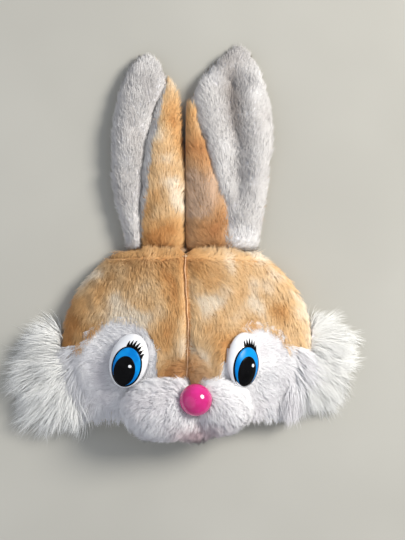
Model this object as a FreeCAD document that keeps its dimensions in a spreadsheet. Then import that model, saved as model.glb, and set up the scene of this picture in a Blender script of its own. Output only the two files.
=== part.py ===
"""Plush bunny hat, lying flat on its back with the face up.

The frame is the hat's own: +Y runs from the brim to the tips of the ears, +X to
the right as the face is seen from above, and +Z up from the surface it lies on.
The origin is the centre of the hat's footprint. All sizes are in millimetres.

The hat is three kinds of soft shell round one hollow: a domed front of plush,
foam and lining, a flat back of plush and lining, and a stuffed muzzle on the
front's lower edge. The eyes and nose are moulded plastic with a shank and a
lock washer. Each ear turns about the seam at its base, and each cheek tuft
about the seam along its inner edge.
"""
import FreeCAD, Part
import os

from FreeCAD import Placement, Rotation, Vector

doc = FreeCAD.newDocument("bunny_hat")
sizes = doc.addObject("Spreadsheet::Sheet", "sizes")
nodes = []
row_count = 0


# ---------------------------------------------------------------- sheet ----
def put(alias, value, note=""):
    """Add one driving dimension to the sheet."""
    global row_count
    row_count += 1
    sizes.set(f"A{row_count}", note or alias.replace("_", " "))
    sizes.set(f"B{row_count}", str(value))
    sizes.setAlias(f"B{row_count}", alias)


DRIVING_SIZES = [
    ("cap_half_width", 118, "half the width of the flattened cap"),
    ("cap_half_length", 105, "half the length of the oval the dome is cut from"),
    ("cap_rise", 42, "rise of the dome above the side seam"),
    ("cap_centre_y", -93, "centre of that oval"),
    ("seam_height", 8, "height of the side seam, on top of the back"),
    ("crown_end_y", -5, "crown end, where the ears are sewn on"),
    ("brim_y", -160, "edge of the opening"),
    ("ridge_half_width", 55, "fold that carries the bridge of the nose"),
    ("ridge_half_length", 62, ""),
    ("ridge_rise", 50, ""),
    ("ridge_centre_x", 22, ""),
    ("ridge_centre_y", -105, ""),
    ("plush", 5, "plush with its pile pressed down"),
    ("foam", 3, "foam interlining of the front"),
    ("lining", 1.5, "lining cloth"),
    ("binding", 4, "width of the tape round the opening"),
    ("binding_underside", 1, "underside of the tape, clear of the surface the hat lies on"),
    ("seam_x", 0, "centre seam of the crown"),
    ("white_side_y", -95, "lower edge of the tan cloth at the sides"),
    ("white_bridge_y", -131, "lower edge of the tan cloth on the bridge"),
    ("backing_left_x", -45, "left edge of the muzzle's backing"),
    ("backing_right_x", 50, "right edge of the muzzle's backing"),
    ("eye_half_width", 18, "moulded eye"),
    ("eye_half_length", 25.75, ""),
    ("eye_depth", 9, ""),
    ("nose_radius", 15, "moulded nose"),
    ("nose_depth", 13.5, ""),
    ("nose_x", 8.5, "nose, and the split between the muzzle's two lobes"),
    ("nose_y", -146, ""),
    ("nose_z", 68, ""),
    ("nose_shank_length", 20, ""),
    ("nose_hole_clearance", 1, "length of its hole beyond the end of the shank"),
    ("nose_washer_z", 55, "top of the nose's washer"),
    ("shank_radius", 3, "shank of an eye or the nose"),
    ("hole_radius", 3.1, "hole that the shank passes through"),
    ("shank_overlap", 2, "depth that a shank is sunk into the moulding it belongs to"),
    ("hole_clearance", 8, "length of a hole beyond the end of the shank"),
    ("washer_radius", 9, "lock washer"),
    ("washer_thickness", 2.5, ""),
    ("muzzle_skin", 4, "plush of the muzzle"),
    ("ear_hinge_y", 6, "line that an ear turns about, over the seam at its base"),
    ("ear_hinge_z", 10, ""),
    ("ear_low_end_y", 30, "end of the low part of an ear, which clears the crown as it turns"),
    ("ear_back_layer", 5, "tan plush under the ear"),
    ("ear_skin", 5, "white plush of the ear's front"),
    ("tuft_gap", 1.5, "room between a tuft and the cap"),
    ("tuft_floor", 0.6, "underside of the tuft"),
    ("tuft_backing", 2.4, "thickness of the tuft's knitted backing"),
    ("tuft_hinge_x", 105, "middle of the tuft's sewn edge"),
    ("tuft_hinge_y", -112, ""),
    ("tuft_hinge_z", 18, ""),
    ("tuft_turn", 10, "degrees that the sewn edge turns from the Y axis"),
    ("tuft_lean", 45, "degrees that the inner face leans outwards above the sewn edge"),
    ("tuft_reach", 19, "centre of the tuft, outwards from its sewn edge"),
    ("tuft_half_width", 37, ""),
    ("tuft_half_length", 56, ""),
    ("tuft_rise", 31, ""),
]
for alias, value, note in DRIVING_SIZES:
    put(alias, value, note)

# Oval patches: centre x, centre y, half width, half length.
EYE_PATCHES = {"left": (-63, -108, 35, 41), "right": (66, -112, 29, 37)}
# Stuffed lobes: centre x, y and z, then half width, half length and half height.
LOBES = {
    "left": (-22, -157, 46, 42, 31, 27),
    "right": (29, -154, 46, 32, 30, 26),
    "chin": (8, -169, 40, 32, 20.5, 22),
}
# Eyes: centre of the flat back x, y and z, sideways tilt, turn in its own plane,
# length of the shank and depth of the washer's upper face.
EYES = {"left": (-54.8, -109.6, 47, -7, -10, 17, 12.7), "right": (54.4, -109, 53.2, 36, -5, 24, 19.5)}
# Lengthwise rolls of an ear: centre x, y and z, then half width, half length and half height.
EARS = {
    "left": {"face": (-44.5, 70, 8, 27.5, 114, 17), "fold": (-22, 60, 8, 19.6, 99, 18)},
    "right": {"face": (44, 82, 8, 37.5, 109.5, 18), "fold": (18, 40, 8, 19.5, 101, 16)},
}
OVAL_FIELDS = ("x", "y", "half_width", "half_length")
LOBE_FIELDS = ("x", "y", "z", "half_width", "half_length", "half_height")
EYE_FIELDS = ("x", "y", "z", "tilt", "turn", "shank_length", "washer_depth")


def put_group(name, fields, values):
    for field, value in zip(fields, values):
        put(f"{name}_{field}", value)


for side, oval in EYE_PATCHES.items():
    put_group(f"patch_{side}", OVAL_FIELDS, oval)
for name, lobe in LOBES.items():
    put_group(f"lobe_{name}", LOBE_FIELDS, lobe)
for side, eye in EYES.items():
    put_group(f"eye_{side}", EYE_FIELDS, eye)
for side, rolls in EARS.items():
    for roll, lobe in rolls.items():
        put_group(f"ear_{side}_{roll}", LOBE_FIELDS, lobe)
doc.recompute()


# -------------------------------------------------------------- helpers ----
def bind(obj, **expressions):
    """Bind an object's properties to cells of the sheet."""
    for name, expression in expressions.items():
        obj.setExpression(name, expression)
    return obj


def place(obj, x="0", y="0", z="0", rotation=None):
    """Bind an object's position to the sheet, after turning it."""
    obj.Placement = Placement(Vector(), rotation or Rotation())
    for axis, expression in (("x", x), ("y", y), ("z", z)):
        obj.setExpression(f".Placement.Base.{axis}", expression)
    return obj


def size(alias):
    return float(sizes.get(alias))


def node(obj, label):
    """Name a finished piece: its label is also the name of its file."""
    obj.Label = label
    nodes.append(obj)
    return obj


def cut(name, base, tool):
    obj = doc.addObject("Part::Cut", name)
    obj.Base = base
    obj.Tool = tool
    return obj


def common(name, base, tool):
    obj = doc.addObject("Part::Common", name)
    obj.Base = base
    obj.Tool = tool
    return obj


def fuse(name, *shapes):
    obj = doc.addObject("Part::MultiFuse", name)
    obj.Shapes = list(shapes)
    return obj


# The poles of a dome point along Y and its seam is underneath.
DOME_TURN = Rotation(Vector(0, 0, -1), Vector(-1, 0, 0), Vector(0, 1, 0), "XZY")


def dome(name, centre, half_width, half_length, half_height):
    obj = doc.addObject("Part::Ellipsoid", name)
    obj.Angle1 = -90
    bind(obj, Radius1=half_length, Radius2=half_height, Radius3=half_width)
    return place(obj, *centre, rotation=DOME_TURN)


def box(name, x, y, z):
    """A box from three pairs of expressions, lowest and highest."""
    obj = doc.addObject("Part::Box", name)
    spans = [f"({high}) - ({low})" for low, high in (x, y, z)]
    bind(obj, Length=spans[0], Width=spans[1], Height=spans[2])
    return place(obj, x[0], y[0], z[0])


def oval_prism(name, x, y, long_radius, short_radius, low, high, turn=0):
    """An upright prism on an oval whose long radius lies along X, turned by some degrees."""
    outline = doc.addObject("Part::Ellipse", f"{name}_outline")
    bind(outline, MajorRadius=long_radius, MinorRadius=short_radius)
    place(outline, x, y, low, Rotation(Vector(0, 0, 1), turn))
    prism = doc.addObject("Part::Extrusion", name)
    prism.Base = outline
    prism.Dir = Vector(0, 0, 1)
    prism.Solid = True
    bind(prism, LengthFwd=f"({high}) - ({low})")
    return prism


def rod(name, parent, radius, top, bottom):
    """A cylinder along the shank of an eye or nose, from one depth to another."""
    obj = doc.addObject("Part::Cylinder", name)
    bind(obj, Radius=radius, Height=f"({bottom}) - ({top})")
    turn = parent.Placement.Rotation
    inward = turn.multVec(Vector(0, 0, -1))
    for axis, step in (("x", inward.x), ("y", inward.y), ("z", inward.z)):
        start = f"{parent.Name}.Placement.Base.{axis}"
        obj.setExpression(f".Placement.Base.{axis}", f"{start} + ({bottom}) * {step:.9f} * 1 mm")
    obj.Placement = Placement(obj.Placement.Base, turn)
    return obj


# Depths of the cap's layers below its outside: plush, foam, lining, hollow.
LAYERS = ["0", "sizes.plush", "sizes.plush + sizes.foam", "sizes.plush + sizes.foam + sizes.lining"]
# Well beyond the hat on any side, and just below it.
FAR = "200"
BELOW = "-1"


# ------------------------------------------------------------------ cap ----
def cap_form(depth, inset):
    """The domed front, taken in by the layers that lie outside it."""
    dome_part = dome(
        f"cap_dome_{depth}", ("0", "sizes.cap_centre_y", "sizes.seam_height"),
        f"sizes.cap_half_width - ({inset})", f"sizes.cap_half_length - ({inset})",
        f"sizes.cap_rise - ({inset})")
    ridge_part = dome(
        f"cap_ridge_{depth}", ("sizes.ridge_centre_x", "sizes.ridge_centre_y", "sizes.seam_height"),
        f"sizes.ridge_half_width - ({inset})", f"sizes.ridge_half_length - ({inset})",
        f"sizes.ridge_rise - ({inset})")
    return fuse(f"cap_form_{depth}", dome_part, ridge_part)


forms = [cap_form(depth, inset) for depth, inset in enumerate(LAYERS)]


def trimmed_form(depth):
    """One form between the crown's end and the brim, above the side seam."""
    limits = box(
        f"cap_limits_{depth}", (f"-{FAR}", FAR), ("sizes.brim_y", f"sizes.crown_end_y - ({LAYERS[depth]})"),
        ("sizes.seam_height", FAR))
    return common(f"cap_solid_{depth}", forms[depth], limits)


solids = [trimmed_form(depth) for depth in range(4)]


def make_eye(side):
    """A moulded eye: a domed oval with a shank, and the washer that locks it."""
    cell = f"sizes.eye_{side}"
    tilt = Rotation(Vector(0, 1, 0), size(f"eye_{side}_tilt"))
    turn = tilt * Rotation(Vector(0, 0, 1), size(f"eye_{side}_turn"))
    lens = doc.addObject("Part::Ellipsoid", f"eye_{side}_lens")
    lens.Angle1 = 0
    bind(lens, Radius1="sizes.eye_depth", Radius2="sizes.eye_half_width", Radius3="sizes.eye_half_length")
    place(lens, f"{cell}_x", f"{cell}_y", f"{cell}_z", turn)
    doc.recompute()
    shank = rod(
        f"eye_{side}_shank", lens, "sizes.shank_radius", "-sizes.shank_overlap", f"{cell}_shank_length")
    hole = rod(
        f"eye_{side}_hole", lens, "sizes.hole_radius", "0", f"{cell}_shank_length + sizes.hole_clearance")
    disc = rod(
        f"eye_{side}_disc", lens, "sizes.washer_radius", f"{cell}_washer_depth",
        f"{cell}_washer_depth + sizes.washer_thickness")
    node(fuse(f"eye_{side}_solid", lens, shank), f"eye_{side}")
    node(cut(f"eye_{side}_ring", disc, hole), f"eye_{side}_washer")
    return hole, lens


eye_tools = {side: make_eye(side) for side in EYES}
eye_holes = fuse("eye_holes", *[tool for pair in eye_tools.values() for tool in pair])

plush_layer = cut("plush_shell", cut("plush_layer", solids[0], solids[1]), eye_holes)
node(cut("foam_shell", cut("foam_layer", solids[1], solids[2]), eye_holes), "front_foam")
node(cut("lining_shell", cut("lining_layer", solids[2], solids[3]), eye_holes), "front_lining")

patches = {
    side: oval_prism(
        f"patch_{side}", f"sizes.patch_{side}_x", f"sizes.patch_{side}_y", f"sizes.patch_{side}_half_length",
        f"sizes.patch_{side}_half_width", "0", FAR, turn=90)
    for side in EYE_PATCHES
}
backing_area = box(
    "backing_area", ("sizes.backing_left_x", "sizes.backing_right_x"),
    (f"-{FAR}", "sizes.white_bridge_y"), ("0", FAR))
cheek_spans = {"left": (f"-{FAR}", "sizes.backing_left_x"), "right": ("sizes.backing_right_x", FAR)}
cheek_areas = {
    side: box(f"cheek_area_{side}", span, (f"-{FAR}", "sizes.white_side_y"), ("0", FAR))
    for side, span in cheek_spans.items()
}
both_patches = fuse("both_patches", patches["left"], patches["right"])
white_area = fuse("white_area", both_patches, backing_area, cheek_areas["left"], cheek_areas["right"])
crown = cut("crown", plush_layer, white_area)
left_half = box("left_half", (f"-{FAR}", "sizes.seam_x"), (f"-{FAR}", FAR), (BELOW, FAR))

node(common("crown_left_part", crown, left_half), "crown_panel_left")
node(cut("crown_right_part", crown, left_half), "crown_panel_right")
for side in EYE_PATCHES:
    node(common(f"patch_{side}_part", plush_layer, patches[side]), f"eye_patch_{side}")
    cheek = common(f"cheek_{side}_area_part", plush_layer, cheek_areas[side])
    node(cut(f"cheek_{side}_part", cheek, both_patches), f"cheek_panel_{side}")
backing = common("backing_area_part", plush_layer, backing_area)
node(cut("backing_part", backing, both_patches), "muzzle_backing")


def back_plate(name, low, high):
    plate = oval_prism(
        f"{name}_oval", "0", "sizes.cap_centre_y", "sizes.cap_half_width", "sizes.cap_half_length", low, high)
    limits = box(f"{name}_limits", (f"-{FAR}", FAR), ("sizes.brim_y", "sizes.crown_end_y"), (BELOW, FAR))
    return common(name, plate, limits)


back_plush = back_plate("back_plush", "0", "sizes.seam_height - sizes.lining")
node(common("back_left_part", back_plush, left_half), "back_panel_left")
node(cut("back_right_part", back_plush, left_half), "back_panel_right")
node(back_plate("back_cloth", "sizes.seam_height - sizes.lining", "sizes.seam_height"), "back_lining")

# The binding carries the section of the front on past the brim, and closes it at the back.
binding_limits = box(
    "binding_limits", (f"-{FAR}", FAR), ("sizes.brim_y - sizes.binding", "sizes.brim_y"),
    ("sizes.seam_height", FAR))
front_binding = common("front_binding", cut("binding_shell", forms[0], forms[3]), binding_limits)
back_binding_plate = oval_prism(
    "back_binding_oval", "0", "sizes.cap_centre_y", "sizes.cap_half_width", "sizes.cap_half_length",
    "sizes.binding_underside", "sizes.seam_height")
back_binding_limits = box(
    "back_binding_limits", (f"-{FAR}", FAR), ("sizes.brim_y - sizes.binding", "sizes.brim_y"), ("0", FAR))
back_binding = common("back_binding", back_binding_plate, back_binding_limits)
node(fuse("binding_ring", front_binding, back_binding), "brim_binding")


# --------------------------------------------------------------- muzzle ----
def make_nose():
    ball = doc.addObject("Part::Ellipsoid", "nose_ball")
    ball.Angle1 = -30
    bind(ball, Radius1="sizes.nose_depth", Radius2="sizes.nose_radius", Radius3="sizes.nose_radius")
    place(ball, "sizes.nose_x", "sizes.nose_y", "sizes.nose_z")
    doc.recompute()
    shank = rod("nose_shank", ball, "sizes.shank_radius", "0", "sizes.nose_shank_length")
    hole = rod(
        "nose_hole", ball, "sizes.hole_radius", "0", "sizes.nose_shank_length + sizes.nose_hole_clearance")
    disc = rod(
        "nose_disc", ball, "sizes.washer_radius", "sizes.nose_z - sizes.nose_washer_z",
        "sizes.nose_z - sizes.nose_washer_z + sizes.washer_thickness")
    node(fuse("nose_solid", ball, shank), "nose")
    node(cut("nose_ring", disc, hole), "nose_washer")
    return fuse("nose_room", ball, hole), fuse("nose_washer_room", disc, hole)


nose_room, nose_washer_room = make_nose()


def lobe_form(name, suffix, inset):
    cell = f"sizes.lobe_{name}"
    return dome(
        f"lobe_{name}_{suffix}", (f"{cell}_x", f"{cell}_y", f"{cell}_z"), f"{cell}_half_width - ({inset})",
        f"{cell}_half_length - ({inset})", f"{cell}_half_height - ({inset})")


outer_lobes = {name: lobe_form(name, "outside", "0") for name in LOBES}
inner_lobes = {name: lobe_form(name, "inside", "sizes.muzzle_skin") for name in LOBES}
muzzle_left_half = box("muzzle_left_half", (f"-{FAR}", "sizes.nose_x"), (f"-{FAR}", FAR), ("0", FAR))
muzzle_right_half = box("muzzle_right_half", ("sizes.nose_x", FAR), (f"-{FAR}", FAR), ("0", FAR))
muzzle_halves = {"left": muzzle_left_half, "right": muzzle_right_half}
not_muzzle = fuse("not_muzzle", forms[0], nose_room, nose_washer_room, eye_holes)
for side, half in muzzle_halves.items():
    skin = cut(f"muzzle_{side}_shell", outer_lobes[side], inner_lobes[side])
    skin_half = common(f"muzzle_{side}_shell_half", skin, half)
    node(cut(f"muzzle_{side}_skin", skin_half, not_muzzle), f"muzzle_panel_{side}")
    filling_half = common(f"muzzle_{side}_filling_half", inner_lobes[side], half)
    node(cut(f"muzzle_{side}_filling", filling_half, not_muzzle), f"muzzle_stuffing_{side}")
half_lobes = [common(f"muzzle_{side}_whole", outer_lobes[side], half) for side, half in muzzle_halves.items()]
not_chin = fuse("not_chin", forms[0], *half_lobes)
node(cut("chin_skin", cut("chin_shell", outer_lobes["chin"], inner_lobes["chin"]), not_chin), "chin_panel")
node(cut("chin_filling", inner_lobes["chin"], not_chin), "chin_stuffing")


# ----------------------------------------------------------------- ears ----
def ear_side_profile():
    """Room for an ear: round about its seam, low beside the crown, and flat underneath."""
    base = doc.addObject("Part::Cylinder", "ear_base_round")
    bind(base, Radius="sizes.ear_hinge_z", Height=FAR + " * 2")
    place(base, f"-{FAR}", "sizes.ear_hinge_y", "sizes.ear_hinge_z", Rotation(Vector(0, 1, 0), 90))
    low = box(
        "ear_low_part", (f"-{FAR}", FAR), ("sizes.ear_hinge_y", "sizes.ear_low_end_y"),
        ("0", "2 * sizes.ear_hinge_z"))
    high = box("ear_high_part", (f"-{FAR}", FAR), ("sizes.ear_low_end_y", FAR), ("0", FAR))
    return fuse("ear_profile", base, low, high)


def ear_roll(side, roll, suffix, inset="0"):
    cell = f"sizes.ear_{side}_{roll}"
    return dome(
        f"ear_{side}_{roll}_{suffix}", (f"{cell}_x", f"{cell}_y", f"{cell}_z"),
        f"{cell}_half_width - ({inset})", f"{cell}_half_length - ({inset})",
        f"{cell}_half_height - ({inset})")


def make_ear(side, profile, above_back):
    """Tan back folded round one side of a white front, with wadding between them."""
    face = common(f"ear_{side}_face_part", ear_roll(side, "face", "roll"), profile)
    fold = common(f"ear_{side}_fold_part", ear_roll(side, "fold", "roll"), profile)
    under = cut(f"ear_{side}_under", face, above_back)
    over = common(f"ear_{side}_over", face, above_back)
    front = cut(f"ear_{side}_front_whole", over, fold)
    core = ear_roll(side, "face", "core", "sizes.ear_skin")
    node(fuse(f"ear_{side}_back_part", under, fold), f"ear_{side}_back")
    node(cut(f"ear_{side}_front_part", front, core), f"ear_{side}_front")
    node(common(f"ear_{side}_core_part", front, core), f"ear_{side}_wadding")


ear_profile = ear_side_profile()
above_ear_back = box("above_ear_back", (f"-{FAR}", FAR), (f"-{FAR}", FAR), ("sizes.ear_back_layer", FAR))
for side in EARS:
    make_ear(side, ear_profile, above_ear_back)


# --------------------------------------------------------------- cheeks ----
def make_tuft(side, sign):
    """Long fur on a knitted backing, sewn to the cap along its inner edge."""
    reach = float(FAR)
    turn = Rotation(Vector(0, 0, 1), -sign * size("tuft_turn"))
    outward = turn.multVec(Vector(sign, 0, 0))
    pile = doc.addObject("Part::Ellipsoid", f"tuft_{side}_pile")
    pile.Angle1 = -90
    bind(pile, Radius1="sizes.tuft_rise", Radius2="sizes.tuft_half_width", Radius3="sizes.tuft_half_length")
    place(
        pile, f"{sign} * sizes.tuft_hinge_x + sizes.tuft_reach * {outward.x:.9f}",
        f"sizes.tuft_hinge_y + sizes.tuft_reach * {outward.y:.9f}", "sizes.tuft_floor", turn)
    above_floor = box(f"tuft_{side}_above", (f"-{FAR}", FAR), (f"-{FAR}", FAR), ("sizes.tuft_floor", FAR))
    lying = common(f"tuft_{side}_lying", pile, above_floor)
    # The inner face leans outwards above the sewn edge, so the tuft can be lifted.
    lean = doc.addObject("Part::Box", f"tuft_{side}_lean")
    lean.Length = lean.Width = lean.Height = 2 * reach
    corner = Vector(0 if sign < 0 else -2 * reach, -reach, 0)
    lean_turn = turn * Rotation(Vector(0, 1, 0), sign * size("tuft_lean"))
    offset = lean_turn.multVec(corner)
    lean.Placement = Placement(Vector(), lean_turn)
    for axis, base, step in (
            ("x", f"{sign} * sizes.tuft_hinge_x", offset.x), ("y", "sizes.tuft_hinge_y", offset.y),
            ("z", "sizes.tuft_hinge_z", offset.z)):
        lean.setExpression(f".Placement.Base.{axis}", f"{base} + {step:.9f}")
    room_top = dome(
        f"tuft_{side}_room_top", ("0", "sizes.cap_centre_y", "sizes.seam_height"),
        "sizes.cap_half_width + sizes.tuft_gap", "sizes.cap_half_length + sizes.tuft_gap",
        "sizes.cap_rise + sizes.tuft_gap")
    room_base = oval_prism(
        f"tuft_{side}_room_base", "0", "sizes.cap_centre_y", "sizes.cap_half_width + sizes.tuft_gap",
        "sizes.cap_half_length + sizes.tuft_gap", BELOW, "sizes.seam_height")
    room = fuse(f"tuft_{side}_room", room_top, room_base, lean)
    shaped = cut(f"tuft_{side}_shaped", lying, room)
    backing_slab = box(
        f"tuft_{side}_slab", (f"-{FAR}", FAR), (f"-{FAR}", FAR),
        (BELOW, "sizes.tuft_floor + sizes.tuft_backing"))
    node(cut(f"tuft_{side}_fur", shaped, backing_slab), f"cheek_tuft_{side}")
    node(common(f"tuft_{side}_knit", shaped, backing_slab), f"cheek_backing_{side}")


make_tuft("left", -1)
make_tuft("right", 1)


# --------------------------------------------------------------- export ----
doc.recompute()
for obj in doc.Objects:
    if "Invalid" in obj.State or "Error" in obj.State:
        raise RuntimeError(f"{obj.Label} did not build: {obj.State}")
for obj in nodes:
    if obj.Shape.isNull() or not obj.Shape.isValid():
        raise RuntimeError(f"{obj.Label} has no valid shape")

os.makedirs("parts", exist_ok=True)
for obj in nodes:
    obj.Shape.exportStep(f"parts/{obj.Label}.step")
    bounds = obj.Shape.BoundBox
    print(
        f"{obj.Label:22s} solids {len(obj.Shape.Solids)} volume {obj.Shape.Volume / 1000:8.2f} cm3  "
        f"x {bounds.XMin:7.1f} {bounds.XMax:7.1f}  y {bounds.YMin:7.1f} {bounds.YMax:7.1f}  "
        f"z {bounds.ZMin:6.1f} {bounds.ZMax:6.1f}")
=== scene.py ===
"""Plush bunny hat, lying flat on its back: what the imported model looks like.

Each panel of the hat is a sewn cloth with a pile of fine tapered strands on it.
The cap is modelled as sections across it, each ear as sections across its
lengthwise rolls, and the muzzle as stuffed lobes. Lengths in this file are in
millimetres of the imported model's frame, and MM turns them into metres.
"""
import math

import bpy
import numpy as np
from mathutils import Matrix, Vector


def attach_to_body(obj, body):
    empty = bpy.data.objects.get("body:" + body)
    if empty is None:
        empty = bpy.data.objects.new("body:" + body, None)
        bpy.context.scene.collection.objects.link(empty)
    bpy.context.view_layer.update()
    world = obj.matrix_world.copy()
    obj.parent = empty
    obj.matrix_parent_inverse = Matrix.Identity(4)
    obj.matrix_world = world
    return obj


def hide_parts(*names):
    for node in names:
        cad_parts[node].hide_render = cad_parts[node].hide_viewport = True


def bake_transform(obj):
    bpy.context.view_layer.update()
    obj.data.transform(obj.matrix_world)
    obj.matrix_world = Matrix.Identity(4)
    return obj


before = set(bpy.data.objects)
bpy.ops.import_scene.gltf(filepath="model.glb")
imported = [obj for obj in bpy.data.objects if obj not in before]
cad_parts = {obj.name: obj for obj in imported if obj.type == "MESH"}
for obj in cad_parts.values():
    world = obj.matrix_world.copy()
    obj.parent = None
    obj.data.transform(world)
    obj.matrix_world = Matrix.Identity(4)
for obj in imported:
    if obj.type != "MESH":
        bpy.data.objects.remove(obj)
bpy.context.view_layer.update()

MM = 0.001
FLOOR = 0.4                  # lowest point of any strand
UNDERSIDE = 2.6              # cloth of the back, held up by the pile it lies on
EAR_UNDERSIDE = 4.4          # lowest point of an ear's front pads, above the cloth of its back

# ---------------------------------------------------------------- sizes ----
CAP_HALF_WIDTH = 118.0
CAP_HALF_LENGTH = 105.0
CAP_RISE = 42.0
CAP_Y = -93.0
SEAM_Z = 8.0
CROWN_END = -5.0
BRIM = -160.0
BRIDGE_X, BRIDGE_Y = 0.0, -121.0    # middle of the tuft of longer pile above the nose
RIDGE_X, RIDGE_Y = 22.0, -105.0
RIDGE_HALF_WIDTH, RIDGE_HALF_LENGTH, RIDGE_RISE = 55.0, 62.0, 50.0
BACKING_DEPTH = 3.2          # cloth under the pile, below the outside of the solid
LOWEST_RELIEF = 1.2          # the cloth sinks no further than this, so it stays outside the foam
LINING_DEPTH = 9.6
NOSE = np.array([8.5, -146.0, 68.0])
NOSE_RADIUS, NOSE_DEPTH = 15.0, 13.5
NOSE_WRAP = math.radians(120)        # how far down its ball the nose goes before its shank
SHANK_RADIUS, EYE_SHANK, NOSE_SHANK = 3.0, 16.0, 20.0
RING_WIDTH = 1.3                     # black ring printed round an iris
LASH_ROWS, LASH_HALF_WIDTH = 7, 1.75
EYE_HALF_WIDTH, EYE_HALF_LENGTH, EYE_DEPTH = 18.0, 25.75, 9.0
EYES = {
    "left": {"centre": (-53.8, -109.6, 47.0), "tilt": -7, "turn": -14},
    "right": {"centre": (52.8, -109.0, 53.2), "tilt": 36, "turn": -6},
}
EYE_PATCHES = {"left": (-63, -108, 35, 41), "right": (66, -112, 29, 37)}
EAR_HINGE = {"left": (-36.0, 6.0, 10.0), "right": (35.0, 6.0, 10.0)}


def srgb(red, green, blue):
    """Linear colour of an 8-bit sRGB one."""
    def channel(value):
        value /= 255
        return value / 12.92 if value <= 0.04045 else ((value + 0.055) / 1.055) ** 2.4
    return (channel(red), channel(green), channel(blue), 1.0)


def smoothstep(low, high, value):
    share = np.clip((value - low) / (high - low), 0, 1)
    return share * share * (3 - 2 * share)


def xyz(x, y, z):
    """Points or directions from their three parts, each an array or one number."""
    return np.stack(np.broadcast_arrays(x, y, z), axis=-1).astype(float)


def unit(vectors):
    return vectors / np.maximum(np.linalg.norm(vectors, axis=-1, keepdims=True), 1e-9)


# ---------------------------------------------------------------- noise ----
def lattice(cells, seed):
    """A repeatable random number from 0 to 1 for each whole-numbered cell."""
    cells = cells.astype(np.int64)
    mixed = seed * 2654435761
    for axis, prime in enumerate((73856093, 19349663, 83492791)):
        mixed = mixed ^ cells[..., axis] * prime
    mixed = (mixed ^ (mixed >> 13)) * 1274126177 & 0x7FFFFFFF
    mixed = (mixed ^ (mixed >> 16)) * 668265263 & 0x7FFFFFFF
    return mixed / 0x7FFFFFFF


def noise(points, size, seed):
    """Smooth noise from -1 to 1 whose lumps are about `size` wide."""
    scaled = points / size
    base = np.floor(scaled)
    share = scaled - base
    share = share * share * (3 - 2 * share)
    total = 0
    for corner in np.ndindex(2, 2, 2):
        corner = np.array(corner)
        weight = np.prod(np.where(corner == 1, share, 1 - share), axis=-1)
        total = total + weight * lattice(base + corner, seed)
    return total * 2 - 1


def clump_centres(points, size, seed):
    """For each point, the nearest of scattered centres about `size` apart, and that centre's number."""
    cells = np.floor(points / size)
    best = np.full(len(points), np.inf)
    centre = np.zeros_like(points)
    number = np.zeros(len(points))
    for step in np.ndindex(3, 3, 3):
        cell = cells + np.array(step) - 1
        jitter = np.stack([lattice(cell, seed + axis) for axis in range(3)], axis=-1)
        candidate = (cell + jitter) * size
        distance = np.linalg.norm(points - candidate, axis=-1)
        closer = distance < best
        best = np.where(closer, distance, best)
        centre[closer] = candidate[closer]
        number = np.where(closer, lattice(cell, seed + 7), number)
    return centre, number


# --------------------------------------------------------------- meshes ----
class Surface:
    """Four-sided faces on points in millimetres, with a normal at each point."""

    def __init__(self, points, quads):
        self.points = points
        self.quads = quads
        self.normals = self._normals()

    def _normals(self):
        a, b, c, d = (self.points[self.quads[:, k]] for k in range(4))
        face = np.cross(c - a, d - b)
        normals = np.zeros_like(self.points)
        for k in range(4):
            np.add.at(normals, self.quads[:, k], face)
        return unit(normals)

    def centres(self):
        return self.points[self.quads].mean(axis=1)

    def scatter(self, per_mm2, rng, keep=None):
        """Random points on the faces, evenly by area, with their normals."""
        quads = self.quads if keep is None else self.quads[keep]
        triangles = np.concatenate([quads[:, [0, 1, 2]], quads[:, [0, 2, 3]]])
        corner = self.points[triangles]
        area = np.linalg.norm(np.cross(corner[:, 1] - corner[:, 0], corner[:, 2] - corner[:, 0]), axis=1) / 2
        count = int(area.sum() * per_mm2)
        picked = rng.choice(len(triangles), count, p=area / area.sum())
        u, v = rng.random(count), rng.random(count)
        over = u + v > 1
        u[over], v[over] = 1 - u[over], 1 - v[over]
        weights = np.stack([1 - u - v, u, v], axis=-1)[..., None]
        roots = (corner[picked] * weights).sum(axis=1)
        normals = unit((self.normals[triangles[picked]] * weights).sum(axis=1))
        return roots, normals


def sheet_of(grid, wrap=False, flip=False):
    """The surface through a grid of points, joined round from the last column to the first if it wraps."""
    rows, columns, _ = grid.shape
    index = np.arange(rows * columns).reshape(rows, columns)
    here = index if wrap else index[:, :-1]
    there = np.roll(index, -1, axis=1) if wrap else index[:, 1:]
    quads = np.stack([here[:-1], there[:-1], there[1:], here[1:]], axis=-1).reshape(-1, 4)
    return Surface(grid.reshape(-1, 3), quads[:, ::-1] if flip else quads)


def tube_of(rings):
    """The surface round a stack of closed rings of points, facing outwards."""
    return sheet_of(rings, wrap=True, flip=True)


def ball(rows, columns, top, bottom):
    """Rings of points on a ball of radius 1, from the angle `top` off its pole down to `bottom`."""
    down = np.linspace(top, bottom, rows)[:, None]
    around = np.linspace(0, 2 * math.pi, columns, endpoint=False)[None]
    return xyz(np.sin(down) * np.cos(around), np.sin(down) * np.sin(around), np.cos(down))


def positions(mesh):
    flat = np.empty(len(mesh.vertices) * 3, np.float32)
    mesh.vertices.foreach_get("co", flat)
    return flat.reshape(-1, 3).astype(float)


def surface_of(obj):
    """The surface of a mesh object that has only four-sided faces."""
    quads = np.empty(len(obj.data.polygons) * 4, np.int32)
    obj.data.polygons.foreach_get("vertices", quads)
    return Surface(positions(obj.data) / MM, quads.reshape(-1, 4))


def freeze(obj):
    """Replaces a mesh by what its modifiers make of it."""
    bpy.context.view_layer.update()
    evaluated = obj.evaluated_get(bpy.context.evaluated_depsgraph_get())
    mesh = bpy.data.meshes.new_from_object(evaluated)
    obj.modifiers.clear()
    obj.data = mesh


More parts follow.
